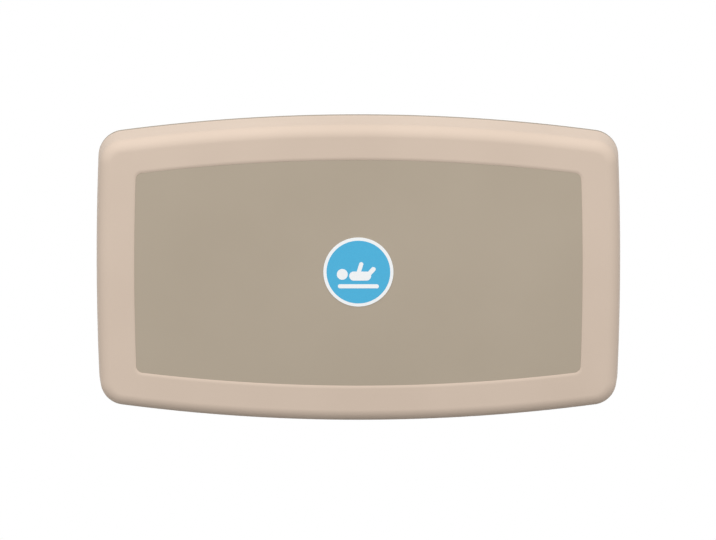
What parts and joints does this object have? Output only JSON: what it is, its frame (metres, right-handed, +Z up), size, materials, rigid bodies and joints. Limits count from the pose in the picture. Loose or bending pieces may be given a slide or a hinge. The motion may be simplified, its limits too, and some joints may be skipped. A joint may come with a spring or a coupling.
{
  "type": "baby changing station",
  "caption": "Wall-mounted fold-down baby changing station with a bowed moulded bed, steel hinge, gas spring, safety strap, liner pockets and bag hooks.",
  "frame": {"origin": "middle of the chassis back face, on the wall", "axes": "+X to the right seen from the front, -Y out of the wall towards the user, +Z up"},
  "size_m": [0.914, 0.102, 0.53],
  "materials": {
    "shell_plastic": "fine-grained moulded polyethylene, warm beige",
    "panel_plastic": "fine-grained moulded polyethylene, taupe",
    "chassis_plastic": "fine-grained moulded polyethylene, dark taupe",
    "label_film": "printed vinyl label, sky blue with a white ring",
    "zinc_steel": "zinc-plated steel",
    "black_steel": "black painted steel",
    "chromed_rod": "ground and chromed rod",
    "rubber": "black moulded rubber",
    "webbing": "woven nylon webbing, charcoal",
    "liner_paper": "folded white tissue paper"
  },
  "bodies": {
    "chassis": {"wall_chassis": "chassis_plastic", "mounting_rail_left": "zinc_steel", "mounting_rail_right": "zinc_steel", "hinge_wall_leaf": "zinc_steel", "hinge_pin": "zinc_steel", "hinge_pin_cap": "black_steel", "leaf_bolt_1": "zinc_steel", "leaf_bolt_2": "zinc_steel", "leaf_bolt_3": "zinc_steel", "leaf_bolt_4": "zinc_steel", "gas_cylinder": "black_steel", "cylinder_clamp_lower": "black_steel", "cylinder_clamp_upper": "black_steel", "mechanism_cover": "chassis_plastic", "cover_screw_left": "zinc_steel", "cover_screw_right": "zinc_steel", "liner_pocket_left": "chassis_plastic", "liner_pocket_right": "chassis_plastic", "liner_stack_left": "liner_paper", "liner_stack_right": "liner_paper", "pocket_screw_left_1": "zinc_steel", "pocket_screw_left_2": "zinc_steel", "pocket_screw_right_1": "zinc_steel", "pocket_screw_right_2": "zinc_steel", "bag_hook_left": "chassis_plastic", "bag_hook_right": "chassis_plastic", "hook_screw_left": "zinc_steel", "hook_screw_right": "zinc_steel", "closing_bumper_left": "rubber", "closing_bumper_right": "rubber", "open_stop_left": "rubber", "open_stop_right": "rubber"},
    "bed": {"bed_outer_shell": "shell_plastic", "front_panel": "panel_plastic", "front_label": "label_film", "bed_inner_tray": "shell_plastic", "hinge_bed_leaf": "zinc_steel", "crank_pin": "zinc_steel", "bed_bolt_1": "zinc_steel", "bed_bolt_2": "zinc_steel", "bed_bolt_3": "zinc_steel", "bed_bolt_4": "zinc_steel", "rim_screw_1": "zinc_steel", "rim_screw_2": "zinc_steel", "rim_screw_3": "zinc_steel", "rim_screw_4": "zinc_steel", "rim_screw_5": "zinc_steel", "rim_screw_6": "zinc_steel", "strap_lower": "webbing", "strap_upper": "webbing", "strap_anchor_lower": "zinc_steel", "strap_anchor_upper": "zinc_steel", "buckle_frame": "zinc_steel", "buckle_pin": "zinc_steel"},
    "gas_rod": {"gas_rod": "chromed_rod"},
    "buckle_lever": {"buckle_lever": "black_steel"}
  },
  "joints": [
    {"name": "bed_hinge", "type": "hinge", "parent": "chassis", "child": "bed", "pos_m": [0, -0.044, -0.231], "axis": [1, 0, 0], "range_deg": [0, 90], "stiffness_Nm_per_rad": 3, "springref_deg": -91.67},
    {"name": "gas_rod_slide", "type": "slide", "parent": "chassis", "child": "gas_rod", "axis": [0, 0, 1], "range_m": [0, 0.034]},
    {"name": "buckle_lever_hinge", "type": "hinge", "parent": "bed", "child": "buckle_lever", "pos_m": [0, -0.0634, 0.062], "axis": [1, 0, 0], "range_deg": [0, 75]}
  ],
  "couplings": [
    {"joint": "gas_rod_slide", "follows": "bed_hinge", "m_per_rad": 0.021608}
  ]
}
